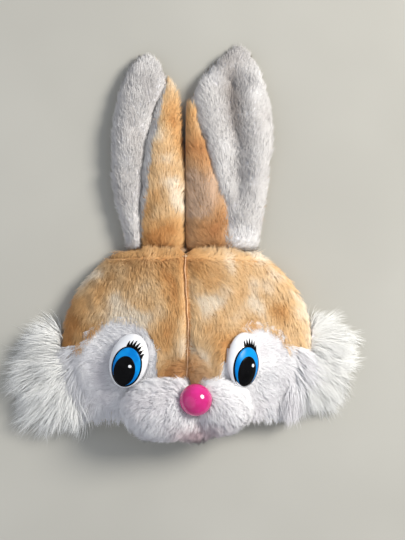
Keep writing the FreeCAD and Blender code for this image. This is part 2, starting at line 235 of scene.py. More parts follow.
def stuff(obj, pinned, cell=4.5, pressure=4.0, slack=0.03, limit=2.4, lowest=FLOOR):
    """Fills a sewn piece with wadding: the cloth is a little slack, so it puckers where it is held."""
    remesh = obj.modifiers.new("even_cells", "REMESH")
    remesh.mode = "VOXEL"
    remesh.voxel_size = cell * MM
    freeze(obj)
    before = positions(obj.data)
    held = np.flatnonzero(pinned(before / MM)).tolist()
    if held:
        obj.vertex_groups.new(name="held").add(held, 1.0, "REPLACE")
    cloth = obj.modifiers.new("cloth", "CLOTH")
    cloth.settings.use_pressure = True
    cloth.settings.uniform_pressure_force = pressure
    cloth.settings.effector_weights.gravity = 0
    cloth.settings.shrink_min = -slack
    cloth.settings.quality = 4
    if held:
        cloth.settings.vertex_group_mass = "held"
    cloth.point_cache.frame_start = 1
    cloth.point_cache.frame_end = 20
    for frame_number in range(1, 21):
        bpy.context.scene.frame_set(frame_number)
    freeze(obj)
    bpy.context.scene.frame_set(1)
    moved = positions(obj.data) - before
    far = np.linalg.norm(moved, axis=1, keepdims=True)
    moved *= np.minimum(1, limit * MM / np.maximum(far, 1e-9))
    settled = before + moved
    settled[:, 2] = np.maximum(settled[:, 2], lowest * MM)
    obj.data.vertices.foreach_set("co", settled.astype(np.float32).ravel())
    finer = obj.modifiers.new("finer", "SUBSURF")
    finer.levels = finer.render_levels = 1
    freeze(obj)
    obj.vertex_groups.clear()
    obj.data.shade_smooth()
    return surface_of(obj)


def build(name, points, quads, triangles=None, material=None):
    """A mesh object from arrays of points in millimetres."""
    mesh = bpy.data.meshes.new(name)
    mesh.vertices.add(len(points))
    mesh.vertices.foreach_set("co", (np.asarray(points) * MM).astype(np.float32).ravel())
    triangles = np.zeros((0, 3), int) if triangles is None else triangles
    loops = np.concatenate([quads.ravel(), triangles.ravel()]).astype(np.int32)
    starts = np.concatenate([np.arange(len(quads)) * 4, len(quads) * 4 + np.arange(len(triangles)) * 3])
    mesh.loops.add(len(loops))
    mesh.loops.foreach_set("vertex_index", loops)
    mesh.polygons.add(len(starts))
    mesh.polygons.foreach_set("loop_start", starts.astype(np.int32))
    mesh.update(calc_edges=True)
    mesh.shade_smooth()
    obj = bpy.data.objects.new(name, mesh)
    bpy.context.scene.collection.objects.link(obj)
    if material:
        mesh.materials.append(material)
    return obj


def shape(name, surface, material):
    return build(name, surface.points, surface.quads, material=material)


def cloth_object(name, surface, material, thickness, keep=None):
    """A sewn panel: the chosen faces of a surface, with the cloth's thickness inwards."""
    quads = surface.quads if keep is None else surface.quads[keep]
    used, quads = np.unique(quads, return_inverse=True)
    obj = build(name, surface.points[used], quads.reshape(-1, 4), material=material)
    if thickness:
        solid = obj.modifiers.new("thickness", "SOLIDIFY")
        solid.thickness = thickness * MM
        solid.offset = -1
    return obj


def attach(obj, body, slot_name, *nodes):
    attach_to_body(obj, body)
    if nodes:
        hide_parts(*nodes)
    return obj


def attach_across(obj, body, start, end, slot_name, *nodes):
    """A soft piece, left where it lies: its place is baked into its mesh and the nodes it stands for are
    hidden. body, start and end are not used.
    """
    start, end = (tuple(MM * value for value in place) for place in (start, end))
    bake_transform(obj)
    if nodes:
        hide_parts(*nodes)


# ----------------------------------------------------------------- pile ----
SIDES = 3


def grow(name, roots, normals, comb, material, rng, *, length, width, lift, rings=2, bend=0.6, swirl=0.5,
         swirl_size=22.0, clump=4.0, pull=0.5, curl=0.0, droop=0.0, limit_x=None, tint=None,
         lock=0.15, soften=0.55):
    """Tapered strands, one for each root, as one mesh.

    comb is the direction that the pile lies in, lift its angle off the cloth at the
    root in radians, and bend the share of that angle lost by the tip. Strands in a
    clump lean towards its centre by the share pull.
    """
    count = len(roots)
    normals = unit(normals)
    along = unit(comb - normals * (comb * normals).sum(axis=1, keepdims=True))
    turn = swirl * noise(roots, swirl_size, 11) + swirl * 0.5 * noise(roots, swirl_size / 3, 12)
    turn = turn + rng.normal(0, 0.16, count)
    across = np.cross(normals, along)
    along = along * np.cos(turn)[:, None] + across * np.sin(turn)[:, None]
    across = np.cross(normals, along)
    length = np.broadcast_to(np.asarray(length, float), (count,)) * rng.uniform(0.72, 1.18, count)
    centre, number = clump_centres(roots, clump, 31)
    length = length * (1 + lock * (2 * number - 1))
    toward = centre - roots
    toward = toward - normals * (toward * normals).sum(axis=1, keepdims=True)
    lift = np.clip(lift + rng.normal(0, 0.12, count) + (number - 0.5) * 0.25, 0.05, 1.5)
    phase = rng.uniform(0, 2 * math.pi, count)
    width = width * rng.uniform(0.75, 1.25, count)

    centreline = [roots - normals * 0.6]
    step = length / rings
    for ring in range(1, rings + 1):
        angle = lift * (1 - bend * (ring - 0.5) / rings)
        move = along * np.cos(angle)[:, None] + normals * np.sin(angle)[:, None]
        move[:, 2] -= droop * (ring / rings) ** 2
        centreline.append(centreline[-1] + unit(move) * step[:, None])
    for ring in range(1, rings + 1):
        share = ring / rings
        sway = curl * length * share * np.sin(phase + share * 3.5)
        gathering = np.broadcast_to(np.asarray(pull, float), (count,)) * share ** 1.2
        centreline[ring] = centreline[ring] + toward * gathering[:, None] + across * sway[:, None]
        centreline[ring][:, 2] = np.maximum(centreline[ring][:, 2], FLOOR + 0.3)
        if limit_x is not None:
            low, high = limit_x
            centreline[ring][:, 0] = np.clip(centreline[ring][:, 0], low, high)

    direction = unit(centreline[1] - centreline[0])
    side = unit(np.cross(direction, normals))
    up = np.cross(direction, side)
    angles = np.arange(SIDES) * 2 * math.pi / SIDES - math.pi / 2
    ring_points = []
    for ring in range(rings):
        radius = width / 2 * (1 - (ring / rings) ** 1.6)
        for angle in angles:
            offset = side * math.cos(angle) + up * math.sin(angle)
            ring_points.append(centreline[ring] + offset * radius[:, None])
    ring_points.append(centreline[rings])
    points = np.stack(ring_points, axis=1)
    points[..., 2] = np.maximum(points[..., 2], FLOOR)
    per_strand = rings * SIDES + 1

    first = np.arange(count)[:, None] * per_strand
    k = np.arange(SIDES)
    around = np.stack([k, (k + 1) % SIDES], axis=-1)
    quads = np.concatenate([
        ring * SIDES + np.concatenate([around, around[:, ::-1] + SIDES], axis=1)
        for ring in range(rings - 1)])
    triangles = np.insert((rings - 1) * SIDES + around, 2, rings * SIDES, axis=1)
    all_quads = (first[:, None] + quads[None]).reshape(-1, 4)
    all_triangles = (first[:, None] + triangles[None]).reshape(-1, 3)
    obj = build(name, points.reshape(-1, 3), all_quads, all_triangles, material)
    mesh = obj.data

    share = np.append(np.repeat(np.arange(rings) / rings, SIDES), 1.0)
    strand = np.zeros((count, per_strand, 3), np.float32)
    strand[..., 0] = share
    strand[..., 1] = rng.random(count)[:, None]
    strand[..., 2] = number[:, None]
    mesh.attributes.new("strand", "FLOAT_VECTOR", "POINT").data.foreach_set("vector", strand.ravel())
    root = np.repeat(roots * MM, per_strand, axis=0).astype(np.float32)
    mesh.attributes.new("root", "FLOAT_VECTOR", "POINT").data.foreach_set("vector", root.ravel())
    tint = np.zeros(count) if tint is None else tint
    tint = np.repeat(tint, per_strand).astype(np.float32)
    mesh.attributes.new("tint", "FLOAT", "POINT").data.foreach_set("value", tint)
    lay_out(mesh, count, rings, quads, triangles)
    middle = np.stack([np.repeat(line[:, None], SIDES, axis=1) for line in centreline[:rings]], axis=1)
    middle = middle.reshape(count, -1, 3)
    outward = points - np.concatenate([middle, centreline[rings][:, None] - normals[:, None]], axis=1)
    facing = unit(unit(outward) * (1 - soften) + normals[:, None] * soften)
    mesh.normals_split_custom_set_from_vertices(facing.reshape(-1, 3).astype(np.float32))
    return obj


def lay_out(mesh, count, rings, quads, triangles):
    """A texture map that gives each strand a small cell of its own."""
    columns = math.ceil(math.sqrt(count))
    cell = np.stack([np.arange(count) % columns, np.arange(count) // columns], axis=-1)

    def corners(faces):
        ring, k = faces // SIDES, faces % SIDES
        around = np.where(ring == rings, 1.0, k.astype(float))
        first = around[:, :1]
        around = np.where((around == 0) & (first == SIDES - 1), SIDES, around)
        return np.stack([0.12 + 0.76 * around / SIDES, 0.12 + 0.76 * ring / rings], axis=-1)

    parts = [
        (cell[:, None, None, :] + corners(faces)[None]).reshape(-1, 2) / columns
        for faces in (quads, triangles)]
    layer = mesh.uv_layers.new(name="OFBake")
    layer.data.foreach_set("uv", np.concatenate(parts).astype(np.float32).ravel())


# ------------------------------------------------------------ materials ----
def new_material(name):
    material = bpy.data.materials.new(name)
    material.use_nodes = True
    tree = material.node_tree
    return material, tree, tree.nodes["Principled BSDF"]


def set_inputs(node, **values):
    """Sets a node's inputs, whose names are written with _ for a space."""
    for name, value in values.items():
        node.inputs[name.replace("_", " ")].default_value = value


def ramp_node(tree, factor, stops):
    ramp = tree.nodes.new("ShaderNodeValToRGB")
    ramp.color_ramp.interpolation = "EASE"
    while len(ramp.color_ramp.elements) < len(stops):
        ramp.color_ramp.elements.new(0.5)
    for element, (position, colour) in zip(ramp.color_ramp.elements, stops):
        element.position = position
        element.color = colour
    tree.links.new(factor, ramp.inputs["Fac"])
    return ramp.outputs["Color"]


def noise_node(tree, vector, size, detail=3.0, roughness=0.55):
    """Noise whose lumps are about `size` millimetres wide."""
    texture = tree.nodes.new("ShaderNodeTexNoise")
    set_inputs(texture, Scale=1 / (size * MM), Detail=detail, Roughness=roughness)
    tree.links.new(vector, texture.inputs["Vector"])
    return texture.outputs["Fac"]


def multiply(tree, colour, factor_socket, low, high):
    """Scales a colour by a factor that runs from low to high as the socket runs from 0 to 1."""
    spread = tree.nodes.new("ShaderNodeMapRange")
    set_inputs(spread, To_Min=low, To_Max=high)
    tree.links.new(factor_socket, spread.inputs["Value"])
    scale = tree.nodes.new("ShaderNodeVectorMath")
    scale.operation = "SCALE"
    tree.links.new(colour, scale.inputs[0])
    tree.links.new(spread.outputs["Result"], scale.inputs["Scale"])
    return scale.outputs["Vector"]


def object_place(tree):
    return tree.nodes.new("ShaderNodeTexCoord").outputs["Object"]


def attribute(tree, name):
    node = tree.nodes.new("ShaderNodeAttribute")
    node.attribute_name = name
    return node.outputs


def add_relief(tree, shader, height, strength, depth):
    """Bumps a surface by a height socket; depth is in millimetres."""
    relief = tree.nodes.new("ShaderNodeBump")
    set_inputs(relief, Strength=strength, Distance=depth * MM)
    tree.links.new(height, relief.inputs["Height"])
    tree.links.new(relief.outputs["Normal"], shader.inputs["Normal"])


def two_tone(low, high, start=0.3, end=0.7):
    """A ramp's stops from one 8-bit colour to another."""
    return [(start, srgb(*low)), (end, srgb(*high))]


# Sockets of a Mix node that mixes colours.
MIX_FACTOR, MIX_A, MIX_B, MIX_RESULT = 0, 6, 7, 2


def pile_material(name, stops, patch, tint, root_shade=0.72, spread=0.16, sheen=0.25):
    """Strands: patches of colour by where they are rooted, paler at the tips, each a little different."""
    material, tree, shader = new_material(name)
    parts = tree.nodes.new("ShaderNodeSeparateXYZ")
    tree.links.new(attribute(tree, "strand")["Vector"], parts.inputs["Vector"])
    mottle = noise_node(tree, attribute(tree, "root")["Vector"], patch, detail=1.5)
    mix = tree.nodes.new("ShaderNodeMix")
    mix.data_type = "RGBA"
    # The tint colour is mixed in by each strand's tint: the pile's own colour at the bridge and chin,
    # painted shade in the ears' valleys, and partly painted shade on the right ear's tan.
    mix.inputs[MIX_B].default_value = tint
    tree.links.new(attribute(tree, "tint")["Fac"], mix.inputs[MIX_FACTOR])
    tree.links.new(ramp_node(tree, mottle, stops), mix.inputs[MIX_A])
    colour = mix.outputs[MIX_RESULT]
    colour = multiply(tree, colour, parts.outputs["X"], root_shade, 1.06)
    colour = multiply(tree, colour, parts.outputs["Y"], 1 - spread, 1 + spread)
    colour = multiply(tree, colour, parts.outputs["Z"], 1 - spread * 0.6, 1 + spread * 0.5)
    tree.links.new(colour, shader.inputs["Base Color"])
    set_inputs(shader, Roughness=0.62, Specular_IOR_Level=0.25, Sheen_Weight=sheen, Sheen_Roughness=0.45)
    return material


def cloth_material(name, stops, patch, bump_size, bump=0.5, roughness=0.85):
    """The cloth or matted pile under the strands, and plain cloths."""
    material, tree, shader = new_material(name)
    place = object_place(tree)
    mottle = noise_node(tree, place, patch)
    colour = ramp_node(tree, mottle, stops)
    fine = noise_node(tree, place, bump_size, detail=4.0)
    colour = multiply(tree, colour, fine, 0.8, 1.15)
    tree.links.new(colour, shader.inputs["Base Color"])
    add_relief(tree, shader, fine, bump, 0.6)
    set_inputs(shader, Roughness=roughness, Sheen_Weight=0.2)
    return material


def woven_material(name, base, thread_size):
    """Plain woven cloth: threads one way and the other, slightly uneven in colour."""
    material, tree, shader = new_material(name)
    place = object_place(tree)
    height = None
    for direction in ("X", "Y"):
        threads = tree.nodes.new("ShaderNodeTexWave")
        threads.bands_direction = direction
        set_inputs(threads, Scale=0.314 / (thread_size * MM), Distortion=0.6)
        tree.links.new(place, threads.inputs["Vector"])
        if height is None:
            height = threads.outputs["Fac"]
        else:
            add = tree.nodes.new("ShaderNodeMath")
            add.operation = "ADD"
            tree.links.new(height, add.inputs[0])
            tree.links.new(threads.outputs["Fac"], add.inputs[1])
            height = add.outputs["Value"]
    colour = ramp_node(tree, noise_node(tree, place, 9.0), [
        (0.3, tuple(0.9 * c for c in base[:3]) + (1,)), (0.7, base)])
    colour = multiply(tree, colour, height, 0.86, 1.02)
    tree.links.new(colour, shader.inputs["Base Color"])
    add_relief(tree, shader, height, 0.4, 0.3)
    set_inputs(shader, Roughness=0.8)
    return material


def plastic_material(name, stops, patch, roughness, coat=0.0, specular=0.5):
    """Moulded plastic: a faint drift of colour and a surface that is not quite flat."""
    material, tree, shader = new_material(name)
    place = object_place(tree)
    drift = noise_node(tree, place, patch, detail=2.0)
    tree.links.new(ramp_node(tree, drift, stops), shader.inputs["Base Color"])
    add_relief(tree, shader, noise_node(tree, place, 5.0), 0.04, 0.4)
    set_inputs(
        shader, Roughness=roughness, Specular_IOR_Level=specular, Coat_Weight=coat, Coat_Roughness=0.04)
    return material


TAN_STOPS = [
    (0.33, srgb(206, 148, 88)), (0.43, srgb(226, 178, 120)), (0.54, srgb(238, 202, 154)),
    (0.66, srgb(250, 234, 210))]
WHITE_STOPS = [(0.3, srgb(234, 232, 236)), (0.55, srgb(245, 245, 248)), (0.75, srgb(252, 252, 254))]
# Painted shade: the ears' white pile is a darker copy of the white pile, for the shade that falls on the
# ears.
EAR_WHITE_PAINTED_SHADE_STOPS = [(0.3, srgb(202, 199, 198)), (0.55, srgb(220, 218, 217)), (0.75, srgb(240, 239, 239))]
TUFT_STOPS = [(0.3, srgb(238, 239, 237)), (0.6, srgb(247, 248, 246)), (0.8, srgb(252, 252, 251))]
tan_pile = pile_material("tan_pile", TAN_STOPS, 42.0, srgb(184, 128, 88), root_shade=0.88, spread=0.06)
white_pile = pile_material("white_pile", WHITE_STOPS, 26.0, srgb(216, 186, 190), root_shade=0.9, spread=0.05)
# The ears' pile: painted shade all over, and its grey-brown tint colour is the painted shade in each ear's
# valley.
ear_pile = pile_material("ear_pile", EAR_WHITE_PAINTED_SHADE_STOPS, 30.0, srgb(146, 134, 126), root_shade=0.86, spread=0.05)
tuft_pile = pile_material(
    "tuft_pile", TUFT_STOPS, 30.0, srgb(225, 225, 225), root_shade=0.94, spread=0.04, sheen=0.4)
tan_cloth = cloth_material("tan_cloth", two_tone((196, 138, 80), (222, 172, 116), end=0.6), 34.0, 1.6)
white_cloth = cloth_material("white_cloth", two_tone((218, 216, 222), (236, 236, 240), end=0.6), 26.0, 1.6)
thread = cloth_material("thread", two_tone((226, 184, 140), (240, 208, 170)), 6.0, 0.5, bump=0.3)
foam_material = cloth_material("foam", two_tone((226, 218, 190), (240, 234, 214)), 8.0, 0.9, bump=0.8)
lining_cloth = woven_material("lining_cloth", srgb(238, 232, 222), 0.9)
binding_cloth = woven_material("binding_cloth", srgb(236, 224, 204), 0.8)
eye_plastic = plastic_material(
    "eye_plastic", two_tone((218, 221, 226), (232, 235, 240)), 14.0, 0.12, coat=0.6)
nose_plastic = plastic_material(
    "nose_plastic", two_tone((188, 8, 108), (208, 24, 130)), 12.0, 0.14, coat=0.8)
washer_plastic = plastic_material("washer_plastic", two_tone((222, 222, 220), (236, 236, 234)), 8.0, 0.4)
iris_ink = plastic_material(
    "iris_ink", two_tone((0, 112, 192), (8, 142, 218), 0.35, 0.65), 16.0, 0.2, specular=0.12)
black_ink = plastic_material("black_ink", two_tone((5, 5, 6), (12, 12, 14)), 10.0, 0.2, specular=0.07)


# ------------------------------------------------------------------ cap ----
def seam_x(y):
    """The centre seam wanders a little from side to side."""
    return np.interp(y, [-133, -80, -23, 5], [0.0, 1.6, -1.8, -0.9])


def ridge_height(x, y, inset):
    """The fold of the face that carries the bridge of the nose, above the side seam."""
    across = (x - RIDGE_X) / (RIDGE_HALF_WIDTH - inset)
    along = (y - RIDGE_Y) / (RIDGE_HALF_LENGTH - inset)
    return (RIDGE_RISE - inset) * np.sqrt(np.maximum(1 - across ** 2 - along ** 2, 0))


def cap_section(y, inset, across, relief=1.0):
    """Points of the domed front at y, for positions across it from -1 to 1."""
    share = np.sqrt(np.maximum(1 - ((y - CAP_Y) / CAP_HALF_LENGTH) ** 2, 0))
    half_width = np.maximum(CAP_HALF_WIDTH * share - inset, 0.5)
    rise = np.maximum(CAP_RISE * share - inset, 0.3)
    angle = across * math.pi / 2
    x = half_width * np.sin(angle)
    dome = rise * np.cos(angle)
    ridge = ridge_height(x, y + 0 * x, inset)
    blend = 9.0 * np.clip(dome / 14, 0, 1)
    nearness = np.clip(1 - np.abs(dome - ridge) / np.maximum(blend, 1e-6), 0, 1)
    height = np.maximum(dome, ridge) + nearness ** 2 * blend / 4
    points = xyz(x, y, SEAM_Z + height)
    fade = relief * np.clip(dome / 10, 0, 1)
    brow = 5.0 * np.exp(-((x - 36) / 10) ** 2 - ((y + 108) / 26) ** 2)
    groove = -1.6 * np.exp(-((x - seam_x(y)) / 3.0) ** 2) * smoothstep(-140, -128, y)
    soft = 1.0 + 1.8 * noise(points, 34.0, 3) + 0.8 * noise(points, 13.0, 4)
    points[..., 2] += fade * np.maximum(brow + groove + soft, -LOWEST_RELIEF)
    return points


def cap_rows(inset, step):
    """Rows along the cap: y, and how far the section is drawn in to round and close the crown's end."""
    end = CROWN_END - inset
    rounding = 6.0
    rows = [(y, inset) for y in np.arange(BRIM, end - rounding, step)]
    for angle in np.radians(np.linspace(0, 90, 6)):
        rows.append((end - rounding + rounding * math.sin(angle), inset + rounding * (1 - math.cos(angle))))
    for share in (0.3, 0.6, 0.85, 1.0):
        rows.append((end, inset + rounding + share * 28))
    return rows


def cap_front(inset, step=2.2, columns=120, relief=1.0):
    across = np.linspace(-1, 1, columns)
    grid = np.stack([cap_section(y, drawn_in, across, relief) for y, drawn_in in cap_rows(inset, step)])
    return sheet_of(grid)


def in_oval(x, y, oval, grow_by=0.0):
    return ((x - oval[0]) / (oval[2] + grow_by)) ** 2 + ((y - oval[1]) / (oval[3] + grow_by)) ** 2 < 1


def in_eye_patch(x, y, grow_by):
    return in_oval(x, y, EYE_PATCHES["left"], grow_by) | in_oval(x, y, EYE_PATCHES["right"], grow_by)


def is_white(x, y):
    """Where the front of the cap is white plush and not tan."""
    places = xyz(x, y, 0)
    wander = 1.6 * noise(places, 9.0, 21)
    white = in_eye_patch(x, y, wander)
    white |= (y < -95 + wander) & (np.abs(x) > 45)
    bridge_left = np.interp(y, [-131, -126, -109], [-24.0, -26.0, -30.0])
    bridge_right = np.interp(y, [-131, -126, -109], [26.0, 31.0, 36.0])
    white |= (y < -109) & ((x < bridge_left + wander) | (x > bridge_right + wander))
    return white | (y < -131 + 4 * noise(places, 7.0, 22))


def panel_of(x, y):
    """The cap's panel at a place: its name, as an array of words."""
    white = is_white(x, y)
    side = np.where(x < seam_x(y), "left", "right")
    names = np.char.add("crown_", side)
    patch = np.where(in_eye_patch(x, y, 4), "eye_patch_", "cheek_")
    names = np.where(white, np.char.add(patch, side), names)
    return np.where(white & (y < -131) & (x > -45) & (x < 50) & (patch == "cheek_"), "backing", names)


# Width and length of each flat cut, and its area; the cap's panels also have the CAD node they stand for.
CAP_PANELS = {
    "crown_left": ("crown_panel_left", (132, 140, 11200)),
    "crown_right": ("crown_panel_right", (136, 142, 12200)),
    "eye_patch_left": ("eye_patch_left", (78, 88, 5450)),
    "eye_patch_right": ("eye_patch_right", (72, 82, 4500)),
    "cheek_left": ("cheek_panel_left", (95, 60, 2050)),
    "cheek_right": ("cheek_panel_right", (92, 66, 2200)),
    "backing": ("muzzle_backing", (100, 30, 2780)),
}
PLUSH_CLOTH, LINING_THICKNESS, PRINT_THICKNESS = 1.2, 0.5, 0.05


def near_eye(points, margin):
    """Which points lie under an eye's moulded oval, seen along the eye's own axis."""
    under = np.zeros(len(points), bool)
    for eye in EYES.values():
        local = (points - np.array(eye["centre"])) @ eye_turn(eye)
        under |= in_oval(local[:, 0], local[:, 1], (0, 0, EYE_HALF_WIDTH, EYE_HALF_LENGTH), margin)
    return under


def from_nose(points):
    """How far points lie from the nose, seen from above."""
    return np.hypot(points[:, 0] - NOSE[0], points[:, 1] - NOSE[1])


def eye_turn(eye):
    """Columns are the eye's own x, y and z axes."""
    tilt = Matrix.Rotation(math.radians(eye["tilt"]), 3, "Y")
    turn = Matrix.Rotation(math.radians(eye["turn"]), 3, "Z")
    return np.array(tilt @ turn)


def away_from_eyes(points):
    """A push outwards from the nearest eye, strong close to its rim."""
    push = np.zeros_like(points)
    for eye in EYES.values():
        offset = points - np.array(eye["centre"])
        offset[:, 2] = 0
        local = offset @ eye_turn(eye)
        reach = np.sqrt((local[:, 0] / EYE_HALF_WIDTH) ** 2 + (local[:, 1] / EYE_HALF_LENGTH) ** 2)
        push += unit(offset) * np.clip(2.1 - reach, 0, 1.2)[:, None]
    return push


def make_cap(rng):
    front = cap_front(BACKING_DEPTH)
    centres = front.centres()
    panels = panel_of(centres[:, 0], centres[:, 1])
    for panel, (node, cut) in CAP_PANELS.items():
        tan = panel.startswith("crown")
        cloth = cloth_object(
            f"{panel}_cloth", front, tan_cloth if tan else white_cloth, PLUSH_CLOTH, panels == panel)
        attach(cloth, "cap", "tan_plush" if tan else "white_plush", node)

    roots, normals = front.scatter(1.6, rng)
    keep = ~near_eye(roots, -1.5)
    keep &= from_nose(roots) > 20
    keep &= roots[:, 1] > BRIM + 0.5
    roots, normals = roots[keep], normals[keep]
    panels = panel_of(roots[:, 0], roots[:, 1])
    x, y = roots[:, 0], roots[:, 1]
    from_seam = x - seam_x(y)
    lean = 0.32 * np.exp(-(x / 60) ** 2) + 0.05 * np.sign(x)
    comb = xyz(lean, -1, 0)
    comb[:, 0] += np.sign(from_seam) * 1.6 * np.exp(-np.abs(from_seam) / 4)
    comb[:, 1] += 2.2 * smoothstep(-16, -9, y)
    standing = 0.6 * np.exp(-((y + 13) / 5) ** 2)
    white = ~np.char.startswith(panels, "crown")
    outward = np.stack([np.sign(x) * 1.2, -0.5 * np.ones_like(x), 0 * x], axis=-1)
    away = away_from_eyes(roots)
    comb = np.where(white[:, None], outward + away * 1.6, comb + away * 0.8)
    cheek = np.char.startswith(panels, "cheek") | (panels == "backing")
    side = np.sign(x)
    fan = roots - FAN_CENTRE * xyz(side, 1, 1)
    fan[:, 2] = 0
    flow = unit(fan) + np.array([0, -0.35, 0])
    hanging = smoothstep(-138, -156, y)
    flow[:, 1] -= hanging
    outer = smoothstep(74, 96, np.abs(x)) * smoothstep(-88, -104, y)
    comb = np.where(cheek[:, None], flow, comb)
    comb = comb + (white & ~cheek)[:, None] * outer[:, None] * 2.0 * flow
    length = np.where(white, 7.5, 10.5) * (1 - 0.5 * np.exp(-np.abs(from_seam) / 3.0) * (~white))
    far_out = smoothstep(55, 100, np.abs(x))
    length = np.where(cheek, 12.0 + 17.0 * far_out * (1 - hanging) - 1.2 * hanging, length)
    length = length * (1 + 0.2 * noise(roots, 18.0, 5)) * (1 + 0.6 * outer * (~cheek))
    length = length * (1 - 0.35 * smoothstep(-30, -8, y) * (np.abs(x) > 45))
    bridge = np.exp(-((x - BRIDGE_X) / 19) ** 2 - ((y - BRIDGE_Y) / 15) ** 2) * ~white
    length = length * (1 + 0.45 * bridge)
    comb = comb + bridge[:, None] * 3.0 * unit(xyz(x - BRIDGE_X, y - BRIDGE_Y, 0) + 1e-6)
    for panel in CAP_PANELS:
        chosen = panels == panel
        if panel == "backing":
            chosen = chosen & ((x < -28) | (x > 42))
        if not chosen.any():
            continue
        tan = panel.startswith("crown")
        pile = grow(
            f"{panel}_pile", roots[chosen], normals[chosen], comb[chosen],
            tan_pile if tan else white_pile, rng, length=length[chosen], width=0.66,
            lift=(0.62 if tan else 0.72) + standing[chosen] + 0.3 * bridge[chosen], bend=0.75,
            rings=4 if panel.startswith("cheek") else 2,
            swirl=0.45 if tan else 0.6, swirl_size=26.0 if tan else 14.0, clump=5.0 if tan else 4.0,
            pull=(0.22 if tan else 0.34 if panel.startswith("eye") else 0.5) + 0.4 * bridge[chosen],
            curl=0.05 if tan else 0.1, lock=0.1, tint=0.5 * bridge[chosen])
        attach(pile, "cap", "tan_plush" if tan else "white_plush")
    return front


# ----------------------------------------------------------------- back ----
def back_section(y, inset, across):
    """The flat back at y, with a rounded side from the seam down to the surface it lies on."""
    share = math.sqrt(max(1 - ((y - CAP_Y) / CAP_HALF_LENGTH) ** 2, 0))
    half_width = max(CAP_HALF_WIDTH * share - inset, 0.5)
    rounding = 6.5
    side = np.clip((np.abs(across) - 0.8) / 0.2, 0, 1) * math.pi / 2
    flat = np.clip(np.abs(across) / 0.8, 0, 1) * (half_width - rounding)
    rounded = half_width - rounding + rounding * np.sin(side)
    x = np.sign(across) * np.where(np.abs(across) < 0.8, flat, rounded)
    z = SEAM_Z - 0.2 - (SEAM_Z - 0.2 - UNDERSIDE) * np.cos(side)
    return xyz(x, y, z)


def make_back(rng):
    inset = 1.2
    across = np.linspace(-1, 1, 90)
    rows = [back_section(y, inset, across) for y in np.linspace(BRIM, CROWN_END - inset, 60)]
    end = rows[-1].copy()
    for share in (0.35, 0.7, 1.0):
        closing = end.copy()
        closing[:, 2] = end[:, 2] + (SEAM_Z - 0.2 - end[:, 2]) * share
        rows.append(closing)
    surface = sheet_of(np.stack(rows), flip=True)
    centres = surface.centres()
    left = centres[:, 0] < 0
    for side, chosen in (("left", left), ("right", ~left)):
        cloth = cloth_object(f"back_{side}_cloth", surface, tan_cloth, PLUSH_CLOTH, chosen)
        attach(cloth, "cap", "tan_plush", f"back_panel_{side}")
    for side, chosen in (("left", left), ("right", ~left)):
        roots, normals = surface.scatter(0.9, rng, chosen)
        comb = xyz(np.sign(roots[:, 0]) * 0.25, -1, 0)
        pile = grow(
            f"back_{side}_pile", roots, normals, comb, tan_pile, rng,
            length=9.0, width=0.85, lift=0.35, clump=5.0, pull=0.3)
        attach(pile, "cap", "tan_plush")


# --------------------------------------------------------------- inside ----
def make_inside():
    """The lining bag with its wrinkles, and the tape that binds the opening."""
    columns = 72
    across = np.linspace(-1, 1, columns)
    rows = []
    for y, drawn_in in cap_rows(LINING_DEPTH, 4.0):
        top = cap_section(y, drawn_in, across, relief=0.0)
        wrinkle = 0.7 * noise(top, 14.0, 41) + 0.35 * noise(top * np.array([1, 0.3, 1]), 5.0, 42)
        top[:, 2] += wrinkle * np.clip((top[:, 2] - SEAM_Z) / 6, 0, 1)
        bottom = top[::-1].copy()
        bottom[:, 2] = SEAM_Z + 0.4 + 0.3 * (noise(bottom, 16.0, 43) + 1)
        rows.append(np.concatenate([top[:-1], bottom[:-1]]))
    lining = cloth_object("cap_lining", tube_of(np.stack(rows)), lining_cloth, LINING_THICKNESS)
    attach(lining, "cap", "lining_cloth", "front_lining", "back_lining")

    def loop(y, inset, low):
        top = cap_section(y, inset, across, relief=0.0)
        bottom = top[::-1].copy()
        bottom[:, 2] = low
        return np.concatenate([top[:-1], bottom[:-1]])

    profile = [
        (-157.0, 3.2, 1.0), (-161.5, 2.6, 0.8), (-163.2, 3.2, 1.3), (-164.0, 4.6, 2.6), (-164.0, 6.8, 6.4),
        (-163.2, 8.9, 8.0), (-161.5, 9.6, 8.5), (-157.0, 9.4, 8.3)]
    rings = np.stack([loop(*ring) for ring in profile])
    tape = cloth_object("brim_tape", tube_of(rings), binding_cloth, LINING_THICKNESS)
    attach(tape, "cap", "binding_tape", "brim_binding")


# --------------------------------------------------------------- muzzle ----
LOBES = {
    "left": {
        "centre": (-21, -154, 45), "radii": (41, 31, 27),
        "piece": "muzzle_left", "nodes": ("muzzle_panel_left", "muzzle_stuffing_left")},
    "right": {
        "centre": (28.5, -151, 45), "radii": (32, 30, 26),
        "piece": "muzzle_right", "nodes": ("muzzle_panel_right", "muzzle_stuffing_right")},
    "chin": {
        "centre": (8, -164, 40), "radii": (30, 20.5, 20),
        "piece": "chin", "nodes": ("chin_panel", "chin_stuffing")},
}


def lobe_surface(name, inset=4.0):
    """A stuffed lobe, flattened against the cap and, at the split, against its neighbour."""
    lobe = LOBES[name]
    radii = np.array(lobe["radii"], float) - inset
    shape = ball(48, 72, 0.02, math.pi - 0.02)
    points = np.array(lobe["centre"]) + shape * radii
    points += shape * (1.2 * noise(points, 16.0, 51) + 0.6 * noise(points, 7.0, 52))[..., None]
    if name != "chin":
        sign = -1 if name == "left" else 1
        beyond = (points[..., 0] - NOSE[0]) * sign
        soft = np.logaddexp(0, beyond / 1.5) * 1.5
        points[..., 0] = NOSE[0] + sign * soft
        cleft = np.exp(-(soft / 7) ** 2) * smoothstep(-150, -162, points[..., 1])
        points[..., 2] -= 7 * cleft * (points[..., 2] > 45)
    else:
        points[..., 2] = np.minimum(points[..., 2], 58)
    seat = np.maximum(SEAM_Z + 0.8 * CAP_RISE - 9, 30 + 0 * points[..., 0])
    points[..., 2] = np.maximum(points[..., 2], seat - 4)
    return tube_of(points)


